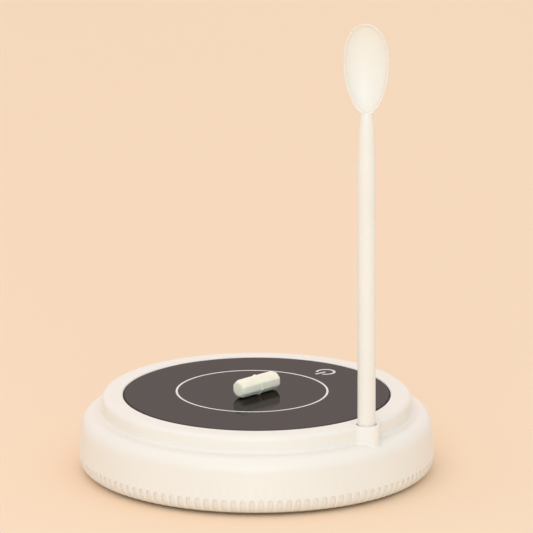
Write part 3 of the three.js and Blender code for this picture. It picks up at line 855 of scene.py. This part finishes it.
def build_stir_bar(sizes, colours):
    """An octagonal bar with a pivot ring, its edges moulded round."""
    to_corner = 1 / math.cos(math.pi / 8)
    half = BAR_LENGTH / 2
    body, ring = sizes.bar_flats / 2 * to_corner, sizes.bar_ring_flats / 2 * to_corner
    upper = [
        (0, half),
        (body - BAR_END["face_in"], half),
        (body - BAR_END["knee_in"], half - BAR_END["knee"]),
        (body, half - BAR_END["taper"]),
        (body, BAR_RING["foot"]),
        (ring, BAR_RING["crest"]),
    ]
    outline = upper + [(radius, -height) for radius, height in reversed(upper)]
    bm = bmesh.new()
    revolve(bm, outline, 8)
    ridges = [edge for edge in bm.edges if math.degrees(edge.calc_face_angle(0)) > 12]
    ridges = [edge for edge in ridges if max(abs(vert.co.z) for vert in edge.verts) > 1 * MM]
    round_edges(bm, ridges, BAR_ROUNDING, 3)
    bmesh.ops.rotate(bm, verts=bm.verts, matrix=Matrix.Rotation(math.pi / 8, 3, "Z"))
    bmesh.ops.rotate(bm, verts=bm.verts, matrix=Matrix.Rotation(math.pi / 2, 3, "Y"))
    bmesh.ops.rotate(bm, verts=bm.verts, matrix=Matrix.Rotation(POLES, 3, "Z"))
    bmesh.ops.translate(bm, verts=bm.verts, vec=(0, 0, BAR_LOW[2] + sizes.bar_ring_flats / 2))
    clean(bm)
    bar = new_object(bm, "stir_bar_body")
    nodes = ["stir_bar_jacket", "stir_bar_plug"]
    return finish_piece(bar, waxy_ptfe(colours.ptfe), "stir_bar", nodes, 40)


# ---- spoon -----------------------------------------------------------------------------

BOWL = {"up": 13.5, "down": 18.2, "depth": 4.6, "wall": 0.4, "forward": 1.4}
SPOON_TURN = math.radians(-13)
BLUNT, POINTED = 2.2, 1.88  # exponents of the egg's upper and lower half
HOLLOW_SHORTER = 2.4  # how many walls the hollow ends above the bowl's lower tip
SKIN = {"voxel": 0.22 * MM, "smooth": 0.5, "passes": 8}
# the stem's narrowing below the bowl: (radius, distance below the rim's widest level)
STEM_TAPER = [(2.94, 34), (2.72, 24.3), (2.4, 20), (2.0, 17.5), (1.85, 15), (1.3, 12), (0, 11)]
TAPER_BELOW = 41


def egg(half_width, depth, up, down):
    """A ball drawn out to an egg, blunt above its widest level and pointed below it."""
    bm = bmesh.new()
    made = bmesh.ops.create_uvsphere(bm, u_segments=72, v_segments=48, radius=1)
    for vert in made["verts"]:
        x, y, z = vert.co
        power = 2 / (BLUNT if z >= 0 else POINTED)
        reach = max(1 - z * z, 0) ** (power / 2)
        waist = math.hypot(x, y) or 1
        vert.co = (
            half_width * reach * x / waist,
            depth * reach * y / waist,
            (up if z >= 0 else down) * math.copysign(abs(z) ** power, z),
        )
    return bm


def build_spoon(sizes, colours):
    """A round stem that runs into an egg-shaped bowl, drawn over with one smooth skin."""
    level = SPOON_HIGH[2] - BOWL["up"] * MM
    wall, depth = BOWL["wall"] * MM, BOWL["depth"] * MM
    up, down = BOWL["up"] * MM, BOWL["down"] * MM
    half_width = sizes.bowl_half_width
    seat = (0, -BOWL["forward"] * MM, level)

    bm = egg(half_width, depth + wall, up, down)
    everything = list(bm.verts) + list(bm.edges) + list(bm.faces)
    front = {"plane_co": (0, 0, 0), "plane_no": (0, -1, 0)}
    cut = bmesh.ops.bisect_plane(bm, geom=everything, clear_outer=True, **front)
    ground_edge_with_painted_highlight = [item for item in cut["geom_cut"] if isinstance(item, bmesh.types.BMEdge)]
    bmesh.ops.edgeloop_fill(bm, edges=ground_edge_with_painted_highlight)
    bmesh.ops.translate(bm, verts=bm.verts, vec=seat)
    clean(bm)
    spoon = new_object(bm, "spoon_skin")

    foot, radius = SPOON_LOW[2] / MM, sizes.stem_radius / MM
    middle = level / MM
    stem = filleted([(0, foot, 0), (radius, foot, 0.6), (radius, middle - TAPER_BELOW, 0)], 4)
    stem += [(narrow, middle - below) for narrow, below in STEM_TAPER]
    bm = bmesh.new()
    revolve(bm, in_metres(stem), 64)
    combine(spoon, new_object(bm, "spoon_stem"), "UNION")

    bm = egg(half_width - wall, depth, up - wall, down - HOLLOW_SHORTER * wall)
    bmesh.ops.translate(bm, verts=bm.verts, vec=seat)
    combine(spoon, new_object(bm, "spoon_hollow"), "DIFFERENCE")

    turn = Matrix.Translation(plan_stem()) @ Matrix.Rotation(SPOON_TURN, 4, "Z")
    spoon.data.transform(turn)
    skin = spoon.modifiers.new("skin", "REMESH")
    skin.mode = "VOXEL"
    skin.voxel_size = SKIN["voxel"]
    smooth = spoon.modifiers.new("smooth", "SMOOTH")
    smooth.factor = SKIN["smooth"]
    smooth.iterations = SKIN["passes"]
    depsgraph = bpy.context.evaluated_depsgraph_get()
    made = bpy.data.meshes.new_from_object(spoon.evaluated_get(depsgraph))
    spoon.modifiers.clear()
    spoon.data = made
    cream = moulded_cream("spoon_cream", colours.cream, 0.12 * MM)
    return finish_piece(spoon, cream, "spoon", ["spoon"], 60)


# ---- pieces carried over from the CAD --------------------------------------------------


def slot_finishes(colours):
    """A finish for every material slot of the record."""
    return {
        "housing_cream": moulded_cream("housing_cream", colours.cream, 0.16 * MM),
        "foot_rubber": matt_rubber(colours.rubber),
        "black_foam": foam_tape(),
        "white_plastic": plain_plastic("white_plastic", (0.75, 0.74, 0.70), 0.4),
        "chip_black": plain_plastic("chip_black", (0.02, 0.02, 0.022), 0.45),
        "board_green": solder_masked_board(),
        "motor_steel": plated_metal("motor_steel", (0.56, 0.56, 0.57), 0.28, 0.42),
        "screw_zinc": plated_metal("screw_zinc", (0.60, 0.61, 0.63), 0.25, 0.38),
        "bush_bronze": plated_metal("bush_bronze", (0.55, 0.35, 0.16), 0.35, 0.5),
        "winding_copper": wound_copper(),
        "magnet_nickel": plated_metal("magnet_nickel", (0.66, 0.64, 0.60), 0.12, 0.22, 0.9),
        "ferrite": plain_plastic("ferrite", (0.04, 0.04, 0.045), 0.55, 0.2),
        "battery_foil": pouch_foil(),
        "lead_red": plain_plastic("lead_red", (0.50, 0.02, 0.02), 0.42),
        "lead_black": plain_plastic("lead_black", (0.02, 0.02, 0.02), 0.42),
    }


def finish_carried_nodes(colours):
    finishes = slot_finishes(colours)
    for part in frame["record"]["subparts"]:
        node = frame["nodes"].get(part["node"])
        if node is None or part["material_slot"] not in finishes:
            continue
        node.data.materials.clear()
        node.data.materials.append(finishes[part["material_slot"]])


# ---- stage -----------------------------------------------------------------------------

VIEW_TILT = math.radians(15.65)  # how far the camera looks down
VIEW_LENS = 1650
VIEW_WIDTH = 179.94 * MM  # how wide the view is at the object
VIEW_CENTRE = Vector((3.31, 0, 71.2)) * MM
FLOOR_RADIUS = 6
FLOOR_DROP = 0.05 * MM  # keeps the floor just clear of the feet
LIT_POINT = (0, 0, 0.03)
PANEL_HEIGHT = 2.1
WORLD_LIGHT = (0.86, 0.90, 0.92, 1)
WORLD_STRENGTH = 0.95


def add_light(name, place, target, size, power, tint=(1, 1, 1)):
    data = bpy.data.lights.new(name, "AREA")
    data.shape = "DISK"
    data.size = size
    data.energy = power
    data.color = tint
    lamp = bpy.data.objects.new(name, data)
    lamp.location = place
    lamp.rotation_euler = (Vector(target) - Vector(place)).to_track_quat("-Z", "Y").to_euler()
    bpy.context.scene.collection.objects.link(lamp)
    return lamp


def build_stage(colours):
    bm = bmesh.new()
    bmesh.ops.create_circle(bm, cap_ends=True, segments=96, radius=FLOOR_RADIUS)
    bmesh.ops.translate(bm, verts=bm.verts, vec=(0, 0, -FLOOR_DROP))
    floor = new_object(bm, "studio_floor")
    floor.data.materials.append(studio_paper(colours.floor))

    add_light("key", (-0.12, -1.67, 0.5), LIT_POINT, 1.0, 9.0, (0.58, 0.84, 1.0))
    add_light("top", (-0.3, -0.1, 1.6), LIT_POINT, 1.2, 3.8, (1.0, 0.47, 0.27))
    panel = add_light("back_panel", (0, 3, 1.15), (0, 0, 1.15), 5, 11.0, (1.0, 0.45, 0.24))
    panel.data.shape = "RECTANGLE"
    panel.data.size_y = PANEL_HEIGHT

    scene = bpy.context.scene
    world = bpy.data.worlds.new("studio")
    world.use_nodes = True
    background = world.node_tree.nodes["Background"]
    background.inputs["Color"].default_value = WORLD_LIGHT
    background.inputs["Strength"].default_value = WORLD_STRENGTH
    scene.world = world
    scene.view_settings.view_transform = "Standard"

    lens = bpy.data.cameras.new("main_view")
    lens.lens = VIEW_LENS
    lens.sensor_width = 36
    lens.clip_start = 0.1
    lens.clip_end = 30
    camera = bpy.data.objects.new("main_view", lens)
    back = Vector((0, -math.cos(VIEW_TILT), math.sin(VIEW_TILT)))
    camera.location = VIEW_CENTRE + back * VIEW_WIDTH * lens.lens / lens.sensor_width
    camera.rotation_euler = (math.pi / 2 - VIEW_TILT, 0, 0)
    scene.collection.objects.link(camera)
    scene.camera = camera


# ---- operators and panel ---------------------------------------------------------------


class STIRRER_OT_housing(bpy.types.Operator):
    """Build the moulded housing with its grip grooves and spoon socket"""

    bl_idname = "stirrer.housing"
    bl_label = "Housing"
    bl_options = {"REGISTER", "UNDO"}

    def execute(self, context):
        build_housing(context.scene.stirrer_sizes, context.scene.stirrer_colours)
        return {"FINISHED"}


class STIRRER_OT_glass(bpy.types.Operator):
    """Build the glass deck, its seal and the dark lip that stands in for the shade round the glass"""

    bl_idname = "stirrer.glass"
    bl_label = "Glass deck"
    bl_options = {"REGISTER", "UNDO"}

    def execute(self, context):
        build_glass(context.scene.stirrer_sizes, context.scene.stirrer_colours)
        build_seal_and_shade_lip()
        return {"FINISHED"}


class STIRRER_OT_prints(bpy.types.Operator):
    """Build the printed ring and the power mark"""

    bl_idname = "stirrer.prints"
    bl_label = "Prints"
    bl_options = {"REGISTER", "UNDO"}

    def execute(self, context):
        build_prints(context.scene.stirrer_sizes, context.scene.stirrer_colours)
        return {"FINISHED"}


class STIRRER_OT_feet(bpy.types.Operator):
    """Build the four rubber feet"""

    bl_idname = "stirrer.feet"
    bl_label = "Feet"
    bl_options = {"REGISTER", "UNDO"}

    def execute(self, context):
        build_feet(context.scene.stirrer_sizes, context.scene.stirrer_colours)
        return {"FINISHED"}


class STIRRER_OT_charging_port(bpy.types.Operator):
    """Build the charging port at the rear"""

    bl_idname = "stirrer.charging_port"
    bl_label = "Charging port"
    bl_options = {"REGISTER", "UNDO"}

    def execute(self, context):
        build_charging_port(context.scene.stirrer_sizes, context.scene.stirrer_colours)
        return {"FINISHED"}


class STIRRER_OT_stir_bar(bpy.types.Operator):
    """Build the stir bar's jacket"""

    bl_idname = "stirrer.stir_bar"
    bl_label = "Stir bar"
    bl_options = {"REGISTER", "UNDO"}

    def execute(self, context):
        build_stir_bar(context.scene.stirrer_sizes, context.scene.stirrer_colours)
        return {"FINISHED"}


class STIRRER_OT_spoon(bpy.types.Operator):
    """Build the spoon"""

    bl_idname = "stirrer.spoon"
    bl_label = "Spoon"
    bl_options = {"REGISTER", "UNDO"}

    def execute(self, context):
        build_spoon(context.scene.stirrer_sizes, context.scene.stirrer_colours)
        return {"FINISHED"}


class STIRRER_OT_carried(bpy.types.Operator):
    """Give every piece carried over from the CAD its finish"""

    bl_idname = "stirrer.carried"
    bl_label = "Inner pieces"
    bl_options = {"REGISTER", "UNDO"}

    def execute(self, context):
        finish_carried_nodes(context.scene.stirrer_colours)
        return {"FINISHED"}


class STIRRER_OT_stage(bpy.types.Operator):
    """Set up the floor, the lights and the camera"""

    bl_idname = "stirrer.stage"
    bl_label = "Stage"
    bl_options = {"REGISTER", "UNDO"}

    def execute(self, context):
        build_stage(context.scene.stirrer_colours)
        return {"FINISHED"}


STEPS = (
    STIRRER_OT_housing,
    STIRRER_OT_glass,
    STIRRER_OT_prints,
    STIRRER_OT_feet,
    STIRRER_OT_charging_port,
    STIRRER_OT_stir_bar,
    STIRRER_OT_spoon,
    STIRRER_OT_carried,
    STIRRER_OT_stage,
)


class STIRRER_PT_panel(bpy.types.Panel):
    bl_label = "Magnetic stirrer"
    bl_idname = "STIRRER_PT_panel"
    bl_space_type = "VIEW_3D"
    bl_region_type = "UI"
    bl_category = "Stirrer"

    def draw(self, context):
        for group in (context.scene.stirrer_sizes, context.scene.stirrer_colours):
            column = self.layout.column(align=True)
            for name in group.__annotations__:
                column.prop(group, name)
        for step in STEPS:
            self.layout.operator(step.bl_idname)


CLASSES = (STIRRER_PG_sizes, STIRRER_PG_colours, *STEPS, STIRRER_PT_panel)


def register():
    for cls in CLASSES:
        bpy.utils.register_class(cls)
    bpy.types.Scene.stirrer_sizes = PointerProperty(type=STIRRER_PG_sizes)
    bpy.types.Scene.stirrer_colours = PointerProperty(type=STIRRER_PG_colours)


def unregister():
    del bpy.types.Scene.stirrer_colours
    del bpy.types.Scene.stirrer_sizes
    for cls in reversed(CLASSES):
        bpy.utils.unregister_class(cls)


def main():
    register()
    for step in STEPS:
        getattr(bpy.ops.stirrer, step.bl_idname.split(".")[1])()


if __name__ == "__main__":
    main()
